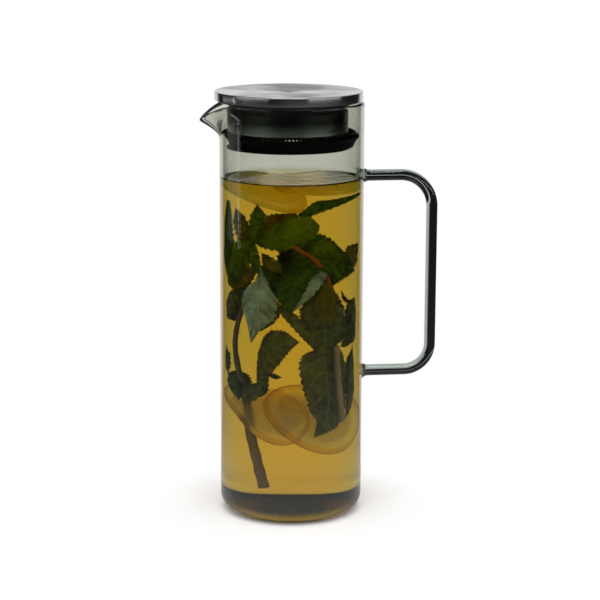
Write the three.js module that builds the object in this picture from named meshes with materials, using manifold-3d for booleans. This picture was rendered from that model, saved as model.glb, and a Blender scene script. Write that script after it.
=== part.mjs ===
// Iced tea maker: a tall glass jug with a drawn spout and a bent glass rod handle,
// closed by a lift-off steel lid that carries a perforated strainer and a soft seal.
// Millimetres, +Z up. The origin is the middle of the jug's flat underside,
// the spout points to -X and the handle to +X.

import * as THREE from 'three';
import { mergeGeometries, mergeVertices } from 'three/addons/utils/BufferGeometryUtils.js';
import Module from 'manifold-3d';

const wasm = await Module();
wasm.setup();

// Clearances shared by all pieces
const seatGap = 0.3;          // between two pieces that fit or rest on each other
const cutOverrun = 2.0;       // how far a cutting shape runs past what it cuts

// Jug
const jugRadius = 47.5;       // outside of the wall
const jugWall = 3.0;
const jugHeight = 275.0;      // underside to rim
const baseThickness = 3.0;
const footRadius = 10.7;      // rounding between underside and wall, outside
const jugSegments = 64;

// Spout: the rim is drawn out into a V with straight sides
const spoutReach = 13.65;     // how far the tip stands out from the wall
const spoutDrop = 11.9;       // how far the tip hangs below the rim
const spoutDepth = 24.5;      // from the rim down to where the wall starts to lean out
const spoutTipTurn = THREE.MathUtils.degToRad(2.24);    // rounding of the V, as an angle at the jug's axis
const spoutRise = THREE.MathUtils.degToRad(31);         // slope of the spout's underside at the tip
const spoutDropExponent = 2.15;                         // how late the rim falls towards the tip
const spoutRootShare = 0.22;  // pull of the upright wall on the bend, of the bend's chord
const spoutLipShare = 0.61;   // pull of the sloping lip on the bend, of the bend's chord
const spoutCrowding = 0.5;    // how much closer the jug's columns stand at the spout

// Handle: a bent rod, its two ends melted on to pads on the wall
const rodRadius = 3.75;
const handleStandOff = 46.7;  // from the wall to the middle of the upright stretch
const upperArmDrop = 49.4;    // from the rim down to the upper arm
const lowerArmHeight = 92.9;  // from the underside up to the lower arm
const upperBendRadius = 21.5;
const lowerBendRadius = 17.5;
const rodSides = 12;
const rodSteps = 48;
const padLength = 4.5;        // from the wall to the rod's end
const upperPadRadius = 5.4;
const lowerPadRadius = 6.2;
const padNeckShare = 0.35;    // where the pad has narrowed to the rod, of its length
const padSides = 20;

// Lid: everything on it turns about one axis, which stands off the jug's axis towards the spout
const lidOffset = 2.1;
const lidSegments = 48;
const capOverhang = 1.1;      // how much wider than the jug the steel cap is, all round
const capSheet = 1.2;
const capEdge = 1.0;          // rounding of the cap's top edge
const capLift = 0.85;         // lower edge of the cap's skirt above that of the flange
const bondPadThickness = 0.6;
const bondPadInset = 6.6;     // from the cap's edge in to the pad's
const bodyPlate = 2.2;        // top plate of the plastic lid body
const flangeWidth = 3.4;      // ring under the plate that rests on the rim
const flangeDepth = 2.6;      // how far that ring hangs below the plate

// Strainer: a collar above, the perforated sleeve, and the seal's carrier below
const strainerClearance = 5.05; // from the jug's wall in to the collar
const collarWall = 2.2;
const collarDepth = 5.9;      // from the flange's underside down to the sleeve
const collarSpigot = 4.1;     // how far the collar reaches into the sleeve, down to the holes
const sleeveHeight = 13.3;
const sleeveSheet = 0.5;
const sleeveInset = 0.45;     // sleeve's outside behind the collar's
const carrierHeight = 10.8;
const carrierSpigot = 1.0;    // how far the carrier reaches into the sleeve
const carrierFlange = 1.0;    // thickness of the flange under the seal, and of the shoulder under the sleeve
const carrierFlangeWidth = 1.15; // how far the flange stands out past the collar
const carrierNeck = 1.3;      // how much the carrier is drawn in behind the seal
const carrierWall = 2.4;
const holeSide = 1.6;         // side of one square hole, standing on its corner
const holeColumns = 60;
const holeRows = 4;
const holePitch = 2.0;        // between two rows

// Seal: a soft ring with a fin that reaches for the jug's wall. Its outside and fin stand about the jug's axis,
// its bore and the taper of its foot about the lid's
const sealClearance = 2.5;    // from the jug's wall in to the seal, which only the fin bridges
const sealEdge = 0.8;         // rounding of the seal's upper edge
const sealBand = 5.7;         // from the seal's top down to where its foot starts to taper
const finDepth = 2.4;         // from the seal's top down to the fin's tip
const finRise = 2.5;          // from the fin's root up to its tip
const finRoot = 1.3;          // thickness of the fin at its root
const finTip = 0.5;           // thickness of the fin at its tip

// Sizes worked out from those above
const wallInside = jugRadius - jugWall;
const spoutTipRadius = jugRadius + spoutReach;
const handleReach = jugRadius + handleStandOff;
const upperArmHeight = jugHeight - upperArmDrop;
const capRadius = jugRadius + capOverhang;
const flangeRadius = capRadius - capSheet - seatGap;
const flangeBottom = jugHeight + seatGap;
const plateBottom = flangeBottom + flangeDepth;
const plateTop = plateBottom + bodyPlate;
const capUnderside = plateTop + bondPadThickness;
const capTop = capUnderside + capSheet;
const capBottom = flangeBottom + capLift;
const strainerRadius = wallInside - strainerClearance;
const sleeveRadius = strainerRadius - sleeveInset;
const spigotRadius = sleeveRadius - sleeveSheet - seatGap;
const collarBottom = flangeBottom - collarDepth;
const carrierTop = collarBottom - sleeveHeight;
const carrierBottom = carrierTop - carrierHeight;
const carrierNeckRadius = sleeveRadius - carrierNeck;
const carrierFlangeRadius = strainerRadius + carrierFlangeWidth;
const carrierFlangeTop = carrierBottom + carrierFlange;
const sealRadius = wallInside - sealClearance;
const sealBoreRadius = carrierNeckRadius + seatGap;
const sealTop = carrierTop;
const sealBottom = carrierFlangeTop + seatGap;
const sealTaperTop = sealTop - sealBand;
const finTipHeight = sealTop - finDepth;

const materials = {
  glass: { color: 0x5b645b, roughness: 0.05, metalness: 0, transparent: true, opacity: 0.35 },
  steel: { color: 0xa9a9a7, roughness: 0.34, metalness: 1 },
  strainerSteel: { color: 0x7e8481, roughness: 0.4, metalness: 1 },
  plastic: { color: 0x0b0c0c, roughness: 0.42, metalness: 0 },
  foam: { color: 0x1a1a1a, roughness: 0.9, metalness: 0 },
  silicone: { color: 0x060606, roughness: 0.55, metalness: 0 },
};

function point(radius, height) {
  return new THREE.Vector2(radius, height);
}

// Points of an arc about a centre, from one angle to another, both ends included
function arc(centreRadius, centreHeight, radius, from, to, steps) {
  return Array.from({ length: steps + 1 }, (_, i) => {
    const angle = THREE.MathUtils.degToRad(THREE.MathUtils.lerp(from, to, i / steps));
    return point(centreRadius + radius * Math.cos(angle), centreHeight + radius * Math.sin(angle));
  });
}

// A profile of radius and height, turned about the vertical axis
function turned(profile, segments) {
  return new THREE.LatheGeometry(profile, segments).rotateX(Math.PI / 2);
}

function closed(profile) {
  return [...profile, profile[0].clone()];
}

function toSolid(geometry) {
  const bare = geometry.clone();
  bare.deleteAttribute('normal');
  bare.deleteAttribute('uv');
  const merged = mergeVertices(bare, seatGap / 1000);
  return new wasm.Manifold(new wasm.Mesh({
    numProp: 3,
    vertProperties: new Float32Array(merged.attributes.position.array),
    triVerts: new Uint32Array(merged.index.array),
  }));
}

function toGeometry(solid) {
  const mesh = solid.getMesh();
  const geometry = new THREE.BufferGeometry();
  geometry.setAttribute('position', new THREE.BufferAttribute(new Float32Array(mesh.vertProperties), 3));
  geometry.setIndex(new THREE.BufferAttribute(new Uint32Array(mesh.triVerts), 1));
  geometry.computeVertexNormals();
  return geometry;
}

function cut(geometry, ...cutters) {
  return toGeometry(cutters.reduce((solid, cutter) => solid.subtract(toSolid(cutter)), toSolid(geometry)));
}

function piece(name, geometry, material) {
  const mesh = new THREE.Mesh(geometry, new THREE.MeshStandardMaterial(materials[material]));
  mesh.name = name;
  return mesh;
}

// Where the rim runs, at an angle from the middle of the spout: outside the spout it is the round wall,
// and inside it the straight side of the V, which touches the wall where the spout ends
function rimAt(angle) {
  const tipAngle = Math.acos(jugRadius / spoutTipRadius);
  const halfWidth = tipAngle + spoutTipTurn;
  const turn = Math.min(Math.abs(Math.atan2(Math.sin(angle), Math.cos(angle))), halfWidth);
  const rounded = Math.hypot(turn, spoutTipTurn * (1 - turn / halfWidth));
  const fromSide = halfWidth - rounded;
  const along = Math.tan(fromSide) / Math.tan(tipAngle);
  return point(jugRadius / Math.cos(fromSide), jugHeight - spoutDrop * along ** spoutDropExponent);
}

// The jug's wall cut open at one angle: from the middle of the underside, up the outside,
// over the rim and down the inside to the middle of the floor
function jugSection(angle) {
  const halfWall = jugWall / 2;
  const rim = rimAt(angle);
  const share = (rim.x - jugRadius) / spoutReach;
  const lean = THREE.MathUtils.lerp(Math.PI / 2, spoutRise, share);
  const direction = point(Math.cos(lean), Math.sin(lean));
  const root = point(jugRadius, jugHeight - spoutDepth);
  const lip = rim.clone().addScaledVector(direction, -halfWall);
  const chord = lip.distanceTo(root);
  const bend = new THREE.CubicBezierCurve(
    root,
    point(root.x, root.y + chord * spoutRootShare),
    lip.clone().addScaledVector(direction, -chord * spoutLipShare),
    lip,
  );
  const steps = 8;
  const outside = bend.getPoints(steps);
  const inward = (i) => {
    const tangent = bend.getTangent(i / steps);
    return point(-tangent.y, tangent.x);
  };
  const inside = outside.map((p, i) => p.clone().addScaledVector(inward(i), jugWall));
  const rimSteps = 6;
  const middle = outside[steps].clone().addScaledVector(inward(steps), halfWall);
  const rimRound = Array.from({ length: rimSteps - 1 }, (_, i) => {
    const turn = Math.PI * (i + 1) / rimSteps;
    return middle.clone()
      .addScaledVector(inward(steps), -halfWall * Math.cos(turn))
      .addScaledVector(direction, halfWall * Math.sin(turn));
  });
  const innerFoot = footRadius - jugWall;
  return [
    point(0, 0),
    ...arc(jugRadius - footRadius, footRadius, footRadius, -90, 0, 6),
    ...outside,
    ...rimRound,
    ...inside.reverse(),
    ...arc(wallInside - innerFoot, baseThickness + innerFoot, innerFoot, 0, -90, 5),
    point(0, baseThickness),
  ];
}

// The jug is a lathe form whose every column takes its own section
function jugShape() {
  const rings = jugSection(0).length;
  const geometry = new THREE.LatheGeometry(jugSection(0), jugSegments);
  const place = geometry.attributes.position;
  for (let column = 0; column <= jugSegments; column++) {
    const even = 2 * Math.PI * column / jugSegments;
    const angle = even - spoutCrowding * Math.sin(even);
    jugSection(angle).forEach((p, ring) => {
      place.setXYZ(column * rings + ring, -p.x * Math.cos(angle), -p.x * Math.sin(angle), p.y);
    });
  }
  geometry.computeVertexNormals();
  return geometry;
}

// The rod's middle line: out along the upper arm, round a bend, down, round a bend and back
class HandleLine extends THREE.Curve {
  constructor(start) {
    super();
    const upright = upperArmHeight - lowerArmHeight - upperBendRadius - lowerBendRadius;
    this.start = start;
    this.lengths = [
      handleReach - upperBendRadius - start,
      upperBendRadius * Math.PI / 2,
      upright,
      lowerBendRadius * Math.PI / 2,
      handleReach - lowerBendRadius - start,
    ];
    this.total = this.lengths.reduce((sum, length) => sum + length, 0);
  }

  getPoint(t, target = new THREE.Vector3()) {
    let along = t * this.total;
    let stretch = 0;
    while (stretch < this.lengths.length - 1 && along > this.lengths[stretch]) {
      along -= this.lengths[stretch];
      stretch += 1;
    }
    const bendTop = upperArmHeight - upperBendRadius;
    const bendFoot = lowerArmHeight + lowerBendRadius;
    if (stretch === 0) return target.set(this.start + along, 0, upperArmHeight);
    if (stretch === 1) {
      const turn = along / upperBendRadius;
      return target.set(
        handleReach - upperBendRadius * (1 - Math.sin(turn)), 0, bendTop + upperBendRadius * Math.cos(turn));
    }
    if (stretch === 2) return target.set(handleReach, 0, bendTop - along);
    if (stretch === 3) {
      const turn = along / lowerBendRadius;
      return target.set(
        handleReach - lowerBendRadius * (1 - Math.cos(turn)), 0, bendFoot - lowerBendRadius * Math.sin(turn));
    }
    return target.set(handleReach - lowerBendRadius - along, 0, lowerArmHeight);
  }
}

function handleShape() {
  const section = new THREE.Shape();
  section.absarc(0, 0, rodRadius, 0, 2 * Math.PI);
  return new THREE.ExtrudeGeometry(section, {
    curveSegments: rodSides / 2,
    steps: rodSteps,
    extrudePath: new HandleLine(jugRadius + padLength),
  });
}

// A pad of glass between wall and rod, wide at the wall and drawn in to the rod,
// hollowed at the back to lie on the round wall
function padShape(padRadius, height) {
  const inWall = -cutOverrun;
  const neck = padLength * padNeckShare;
  const flare = new THREE.QuadraticBezierCurve(
    point(padRadius, 0), point(rodRadius, neck), point(rodRadius, padLength));
  const blank = new THREE.LatheGeometry(
    [point(0, inWall), point(padRadius, inWall), ...flare.getPoints(6), point(0, padLength)], padSides);
  blank.rotateZ(-Math.PI / 2).translate(jugRadius, 0, height);
  const seat = jugRadius + seatGap;
  const wall = new THREE.CylinderGeometry(seat, seat, 4 * padRadius, 2 * jugSegments);
  wall.rotateX(Math.PI / 2).translate(0, 0, height);
  return cut(blank, wall);
}

function capShape() {
  const inner = capRadius - capSheet;
  return turned([
    point(0, capUnderside),
    point(inner, capUnderside),
    point(inner, capBottom),
    point(capRadius, capBottom),
    ...arc(capRadius - capEdge, capTop - capEdge, capEdge, 0, 90, 4),
    point(0, capTop),
  ], lidSegments);
}

function bondPadShape() {
  const padRadius = capRadius - bondPadInset;
  return turned(
    [point(0, plateTop), point(padRadius, plateTop), point(padRadius, capUnderside), point(0, capUnderside)],
    lidSegments);
}

function lidBodyShape() {
  const collarInside = strainerRadius - collarWall;
  return turned([
    point(0, plateBottom),
    point(collarInside, plateBottom),
    point(collarInside, collarBottom - collarSpigot),
    point(spigotRadius, collarBottom - collarSpigot),
    point(spigotRadius, collarBottom),
    point(strainerRadius, collarBottom),
    point(strainerRadius, plateBottom),
    point(flangeRadius - flangeWidth, plateBottom),
    point(flangeRadius - flangeWidth, flangeBottom),
    point(flangeRadius, flangeBottom),
    point(flangeRadius, plateTop),
    point(0, plateTop),
  ], lidSegments);
}

// The sleeve stands between the shoulders of collar and carrier. Its holes are staggered:
// neighbouring columns take turns with the rows
function sleeveShape() {
  const inside = sleeveRadius - sleeveSheet;
  const ring = turned(closed([
    point(inside, carrierTop),
    point(sleeveRadius, carrierTop),
    point(sleeveRadius, collarBottom),
    point(inside, collarBottom),
  ]), holeColumns);
  const openBottom = carrierTop + carrierSpigot;
  const openTop = collarBottom - collarSpigot;
  const firstRow = (openBottom + openTop - (holeRows - 1) * holePitch) / 2;
  const holes = [];
  for (let column = 0; column < holeColumns; column++) {
    for (let row = column % 2; row < holeRows; row += 2) {
      const hole = new THREE.BoxGeometry(2 * cutOverrun, holeSide, holeSide);
      hole.rotateX(Math.PI / 4).translate(sleeveRadius, 0, firstRow + row * holePitch);
      holes.push(hole.rotateZ(2 * Math.PI * (column + 1 / 2) / holeColumns));
    }
  }
  return cut(ring, mergeGeometries(holes));
}

function carrierShape() {
  const bore = carrierNeckRadius - carrierWall;
  return turned(closed([
    point(bore, carrierBottom),
    point(carrierFlangeRadius, carrierBottom),
    point(carrierFlangeRadius, carrierFlangeTop),
    point(carrierNeckRadius, carrierFlangeTop),
    point(carrierNeckRadius, carrierTop - carrierFlange),
    point(sleeveRadius, carrierTop - carrierFlange),
    point(sleeveRadius, carrierTop),
    point(spigotRadius, carrierTop),
    point(spigotRadius, carrierTop + carrierSpigot),
    point(bore, carrierTop + carrierSpigot),
  ]), lidSegments);
}

function sealShape() {
  const outside = turned([
    point(0, sealBottom),
    point(sealRadius, sealBottom),
    point(sealRadius, finTipHeight - finRise - finRoot / 2),
    point(wallInside - seatGap, finTipHeight - finTip / 2),
    point(wallInside - seatGap, finTipHeight + finTip / 2),
    point(sealRadius, finTipHeight - finRise + finRoot / 2),
    ...arc(sealRadius - sealEdge, sealTop - sealEdge, sealEdge, 0, 90, 3),
    point(0, sealTop),
  ], lidSegments);
  const beyond = sealRadius + lidOffset + cutOverrun;
  const underTaper = turned(closed([
    point(carrierFlangeRadius, sealBottom - cutOverrun),
    point(beyond, sealBottom - cutOverrun),
    point(beyond, sealTaperTop),
    point(sealRadius + lidOffset, sealTaperTop),
    point(carrierFlangeRadius, sealBottom),
  ]), lidSegments);
  underTaper.translate(-lidOffset, 0, 0);
  const height = sealTop - sealBottom + 2 * cutOverrun;
  const bore = new THREE.CylinderGeometry(sealBoreRadius, sealBoreRadius, height, lidSegments);
  bore.rotateX(Math.PI / 2).translate(-lidOffset, 0, (sealTop + sealBottom) / 2);
  // the carrier's shoulder stands in a step at the top of the bore
  const stepRadius = sleeveRadius + seatGap;
  const step = new THREE.CylinderGeometry(stepRadius, stepRadius, 2 * (carrierFlange + seatGap), lidSegments);
  step.rotateX(Math.PI / 2).translate(-lidOffset, 0, sealTop);
  return cut(outside, underTaper, bore, step);
}

const jug = new THREE.Group();
jug.add(
  piece('jug_glass', jugShape(), 'glass'),
  piece('handle_glass', handleShape(), 'glass'),
  piece('handle_weld_upper', padShape(upperPadRadius, upperArmHeight), 'glass'),
  piece('handle_weld_lower', padShape(lowerPadRadius, lowerArmHeight), 'glass'),
);

const lid = new THREE.Group();
lid.position.x = -lidOffset;
lid.add(
  piece('lid_cap', capShape(), 'steel'),
  piece('cap_bond_pad', bondPadShape(), 'foam'),
  piece('lid_body', lidBodyShape(), 'plastic'),
  piece('strainer_sleeve', sleeveShape(), 'strainerSteel'),
  piece('seal_carrier', carrierShape(), 'plastic'),
);

const icedTeaMaker = new THREE.Group();
icedTeaMaker.add(jug, lid, piece('seal_ring', sealShape(), 'silicone'));

export default icedTeaMaker;
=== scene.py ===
# The looks of the iced tea maker: clear glass, brushed steel lid, perforated strainer, soft seal, and the
# tea, mint and lemon that the jug holds. Lengths are in millimetres up to the mesh, which is in metres.

import math

import bmesh
import bpy
from mathutils import Matrix, Vector
from mathutils.kdtree import KDTree


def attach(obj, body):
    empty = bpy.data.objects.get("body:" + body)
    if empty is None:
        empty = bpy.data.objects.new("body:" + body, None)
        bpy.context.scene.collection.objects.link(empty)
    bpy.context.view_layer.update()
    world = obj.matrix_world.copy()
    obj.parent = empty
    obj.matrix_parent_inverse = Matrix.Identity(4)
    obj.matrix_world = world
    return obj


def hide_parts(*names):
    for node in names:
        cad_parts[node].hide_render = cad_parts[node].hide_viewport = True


MM = 0.001
TOUCHING = 0.002  # points closer than this are merged into one

# Jug
JUG_RADIUS = 47.5
JUG_WALL = 3.0
JUG_HEIGHT = 275.0
BASE_THICKNESS = 3.0
FOOT_RADIUS = 10.7
JUG_STEPS = 192
SPOUT_REACH = 13.65
SPOUT_DROP = 11.9
SPOUT_DROP_POWER = 2.15
SPOUT_DEPTH = 24.5
SPOUT_SIDE_DEPTH = 0.25  # depth at the spout's sides, as a share of that in its middle
SPOUT_SIDE_POWER = 0.4
SPOUT_TIP_TURN = math.radians(2.24)
SPOUT_RISE = math.radians(31)
SPOUT_ROOT_PULL = 0.22
SPOUT_LIP_PULL = 0.61

# Handle
ROD_RADIUS = 3.75
HANDLE_REACH = 94.2
UPPER_ARM = 225.6
LOWER_ARM = 92.9
UPPER_BEND = 21.5
LOWER_BEND = 17.5
UPPER_PAD = 5.4
LOWER_PAD = 6.2
PAD_LENGTH = 4.5
PAD_RINGS = (0.2, 0.38, 0.54, 0.68, 0.8, 0.9, 1.0)
PAD_FLARE = 2.6

# Lid, strainer and seal
LID_X = -2.1
SEAT_GAP = 0.3
CAP_RADIUS = 48.6
CAP_TOP = 281.9
CAP_BOTTOM = 276.15
CAP_SHEET = 1.2
CAP_DISH = 1.2
CAP_EDGE = 0.45
PAD_INSET = 6.6
PAD_THICKNESS = 0.6
STRAINER_RADIUS = 39.45
COLLAR_WALL = 2.2
COLLAR_SPIGOT = 4.1
FLANGE_RADIUS = 47.1
FLANGE_BOTTOM = 275.3
FLANGE_WIDTH = 3.4
PLATE_BOTTOM = 277.9
PLATE_TOP = 280.1
SLEEVE_RADIUS = 39.0
SLEEVE_SHEET = 0.5
SLEEVE_BOTTOM = 256.1
SLEEVE_TOP = 269.4
HOLE_COLUMNS = 198
HOLE_ROWS = 5
HOLE_PITCH = 1.43
HOLE_RADIUS = 0.48
FIRST_HOLE = 256.95
CARRIER_BOTTOM = 245.3
CARRIER_FLANGE = 40.6
CARRIER_NECK = 37.7
CARRIER_BORE = 35.5
CARRIER_NECK_HEIGHTS = (249.0, 255.0)
CARRIER_SLOT_HEIGHTS = (252.6, 254.8)
SEAL_RADIUS = 42.0
SEAL_BORE = 39.0
SEAL_BOTTOM = 246.6
SEAL_WALL = 1.1
SEAL_WALL_HEIGHTS = (252.6, 255.1)
SEAL_SLOT_HEIGHTS = (254.1, 255.0)
SEAL_EDGE = 0.8
SLOTS = 104

# Contents
TEA_LEVEL = 225.0
TEA_SOAK = 0.07  # how far the tea reaches into the glass, so that no air lies between them
TEA_CLIMB = 1.6
INSIDE_JUG = 43.1
LEAF_TOOTH = 3.0
LEAF_NOTCH = 2.0
LEAF_THICKNESS = 0.3
LEAF_CURL = 0.22
LEAF_RIPPLE = 0.045
LEAF_SWAY = 0.07
SLICE_UV = "slice_face"

# The photograph's camera, turned with the jug: the spout points a little towards it
VIEW_TURN = math.radians(-7.5)
CAMERA_PLACE = Vector((5.7445, -1242.55, 408.31)) * MM
CAMERA_PITCH = 0.2108
CAMERA_ROLL = 0.004
CAMERA_LENS = 114.36

# The studio: how far round the white backdrop reaches, and how dark the rest of the room is
BACKDROP_SPREAD = math.radians(38)
BACKDROP_EDGE = math.radians(7)
BACKDROP_TOP = math.radians(13)
OVERHEAD_FROM = math.radians(32)
OVERHEAD_FULL = math.radians(58)
ROOM_DARK = 0.01
ROOM_OVERHEAD = 0.2
ROOM_LIGHT = 0.75
FLOOR_RADIUS = 3000
FLOOR_GAP = 0.03
FLOOR_GLOW = 0.19
# how far from the jug the mirrored floor keeps its light before its painted shade
PAINTED_FLOOR_FALLOFF = 200
# Painted shade in the rod: how dark the floor is seen through it, and where it stays white
PAINTED_ROD_SHADE = 0.975
WHITE_NEAR_ROD = (340, 180)
WHITE_FAR_OFF = (1500, 1800)
WHITE_TO_THE_RIGHT = (0.28, 0.60)  # in x over y, from the rod's foot
WHITE = (1, 1, 1, 1)
GREY = (0.8, 0.8, 0.8, 1)
BLACK = (0, 0, 0, 1)


def opaque(colour, factor=1.0):
    return (*[factor * c for c in colour], 1)


# Short ways to build shader nodes


def set_sockets(tree, node, sockets):
    """Joins each named socket to another node's output, or sets it to a value."""
    for name, value in sockets.items():
        if isinstance(value, bpy.types.NodeSocket):
            tree.links.new(value, node.inputs[name])
        else:
            node.inputs[name].default_value = value


def add_node(tree, kind, sockets, **settings):
    node = tree.nodes.new("ShaderNode" + kind)
    for name, value in settings.items():
        setattr(node, name, value)
    set_sockets(tree, node, sockets)
    return node


def maths(tree, operation, *values, clamp=False):
    """The result of a sum on numbers and sockets."""
    return add_node(tree, "Math", dict(enumerate(values)), operation=operation, use_clamp=clamp).outputs[0]


def remap(tree, value, start, end, low=0.0, high=1.0, smooth=False):
    """Takes start to end over to low to high, and stays at low or high outside."""
    sockets = {"Value": value, "From Min": start, "From Max": end, "To Min": low, "To Max": high}
    curve = "SMOOTHSTEP" if smooth else "LINEAR"
    return add_node(tree, "MapRange", sockets, interpolation_type=curve).outputs[0]


def length(tree, vector):
    return add_node(tree, "VectorMath", {0: vector}, operation="LENGTH").outputs["Value"]


def split(tree, vector):
    """The sockets X, Y and Z of a vector."""
    return add_node(tree, "SeparateXYZ", {0: vector}).outputs


def mapping(tree, vector, kind="POINT", **sockets):
    """The vector moved, turned or stretched."""
    return add_node(tree, "Mapping", {"Vector": vector, **sockets}, vector_type=kind).outputs[0]


def object_place(tree):
    return add_node(tree, "TexCoord", {}).outputs["Object"]


def noise(tree, vector, scale, detail=2.0, roughness=0.5):
    sockets = {"Vector": vector, "Scale": scale, "Detail": detail, "Roughness": roughness}
    return add_node(tree, "TexNoise", sockets).outputs["Fac"]


def bump(tree, height, distance, strength):
    sockets = {"Height": height, "Distance": distance, "Strength": strength}
    return add_node(tree, "Bump", sockets).outputs[0]


def mix_colours(tree, share, one, other):
    return add_node(tree, "MixRGB", {"Fac": share, "Color1": one, "Color2": other}).outputs[0]


def mix_shaders(tree, share, one, other):
    return add_node(tree, "MixShader", {0: share, 1: one, 2: other}).outputs[0]


def new_material(name):
    material = bpy.data.materials.new(name)
    material.use_nodes = True
    tree = material.node_tree
    return material, tree, tree.nodes["Principled BSDF"]


# Camera, room, lamps and floor


def set_camera():
    bpy.ops.object.camera_add()
    camera = bpy.context.object
    camera.name = "photo_camera"
    camera.data.sensor_width = 36
    camera.data.lens = CAMERA_LENS
    turn = Matrix.Rotation(VIEW_TURN, 4, "Z")
    place = Matrix.Translation(turn @ CAMERA_PLACE)
    tilt = Matrix.Rotation(math.pi / 2 - CAMERA_PITCH, 4, "X")
    camera.matrix_world = place @ turn @ tilt @ Matrix.Rotation(CAMERA_ROLL, 4, "Z")
    bpy.context.scene.camera = camera


def from_behind(tree, vector):
    """1 where a direction or a place lies behind the object for the photograph's camera, 0 elsewhere."""
    turned_back = mapping(tree, vector, Rotation=(0, 0, -VIEW_TURN))
    flat = add_node(tree, "VectorMath", {0: turned_back, 1: (1, 1, 0)}, operation="MULTIPLY").outputs[0]
    unit = add_node(tree, "VectorMath", {0: flat}, operation="NORMALIZE").outputs[0]
    outer = math.cos(BACKDROP_SPREAD + BACKDROP_EDGE)
    inner = math.cos(BACKDROP_SPREAD - BACKDROP_EDGE)
    return remap(tree, split(tree, unit)["Y"], outer, inner, smooth=True)


def on_paths(tree, kind):
    """1 for light paths that have met at least one such surface."""
    return maths(tree, "MINIMUM", add_node(tree, "LightPath", {}).outputs[kind], 1.0)


def through_rod(tree):
    """1 for what is seen straight through the handle's rod: two refractions and nothing else."""
    path = add_node(tree, "LightPath", {}).outputs
    other = maths(tree, "ADD", path["Glossy Depth"], path["Diffuse Depth"])
    twice = maths(tree, "COMPARE", path["Transmission Depth"], 2.0, 0.5)
    no_other = maths(tree, "COMPARE", other, 0.0, 0.5)
    return maths(tree, "MULTIPLY", twice, no_other)


def set_world():
    """A dark room with a white backdrop. Seen straight, or through any glass but the rod, all is white; seen
    straight through the rod it is the dark room, a painted shade in the rod.
    """
    world = bpy.data.worlds.new("studio")
    bpy.context.scene.world = world
    world.use_nodes = True
    tree = world.node_tree
    tree.nodes.clear()
    way = object_place(tree)
    up = split(tree, way)["Z"]
    overhead = remap(
        tree, up, math.sin(OVERHEAD_FROM), math.sin(OVERHEAD_FULL), ROOM_DARK, ROOM_OVERHEAD, smooth=True)
    white = add_node(tree, "Background", {"Color": WHITE, "Strength": 1.0}).outputs[0]
    room = add_node(tree, "Background", {"Color": GREY, "Strength": overhead}).outputs[0]
    soft = add_node(tree, "Background", {"Color": GREY, "Strength": ROOM_LIGHT}).outputs[0]
    low = remap(tree, up, math.sin(1.5 * BACKDROP_TOP), math.sin(0.5 * BACKDROP_TOP), smooth=True)
    backdrop = maths(tree, "MULTIPLY", low, from_behind(tree, way))
    mirrored = mix_shaders(tree, backdrop, room, white)
    seen = mix_shaders(tree, on_paths(tree, "Glossy Depth"), white, mirrored)
    lit = mix_shaders(tree, on_paths(tree, "Diffuse Depth"), seen, soft)
    # painted shade in the rod: what is seen straight through it is the dark room
    rod_painted_dark = mix_shaders(tree, through_rod(tree), lit, room)
    add_node(tree, "OutputWorld", {"Surface": rod_painted_dark})


def white_round_rod(tree, vector):
    """1 where the floor is white as seen through the rod: near it, far off, and behind it to the right."""
    place = mapping(tree, vector, "TEXTURE", Location=(HANDLE_REACH * MM, 0, 0), Rotation=(0, 0, VIEW_TURN))
    away = length(tree, place)
    near = remap(tree, away, *[MM * d for d in WHITE_NEAR_ROD], smooth=True)
    far = remap(tree, away, *[MM * d for d in WHITE_FAR_OFF], smooth=True)
    spot = split(tree, place)
    slant = maths(tree, "DIVIDE", spot["X"], spot["Y"])
    right = remap(tree, slant, *WHITE_TO_THE_RIGHT, smooth=True)
    return maths(tree, "MAXIMUM", maths(tree, "MAXIMUM", near, right), far)


def add_softbox(name, place, aim, width, height, power, shine_only=False):
    turn = Matrix.Rotation(VIEW_TURN, 4, "Z")
    place = turn @ Vector(place)
    aim = turn @ Vector(aim)
    bpy.ops.object.light_add(type="AREA", location=place * MM)
    light = bpy.context.object
    light.name = name
    light.data.shape = "RECTANGLE"
    light.data.size = width * MM
    light.data.size_y = height * MM
    light.data.energy = power
    light.visible_camera = False
    light.visible_diffuse = not shine_only
    toward = (aim - place).normalized()
    light.rotation_euler = toward.to_track_quat("-Z", "Y").to_euler()


def add_lamps():
    """A large lamp overhead, a strip and a panel to the left, and two panels aimed at the lid that only
    shine, lighting nothing diffusely.
    """
    lower_jug = (0, 0, 80)
    lid = (0, 0, 279)
    add_softbox("top_softbox", (0, -300, 1200), (0, 0, 200), 700, 700, 5.6)
    add_softbox("left_strip", (-1000, 34, 80), (0, 34, 80), 40, 155, 0.038)
    add_softbox("left_panel", (-980, 320, 80), lower_jug, 470, 155, 0.06)
    add_softbox("front_left_panel", (-717, -448, 400), lid, 900, 200, 1.0, shine_only=True)
    add_softbox("front_right_panel", (717, -448, 400), lid, 900, 200, 1.1, shine_only=True)


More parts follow.
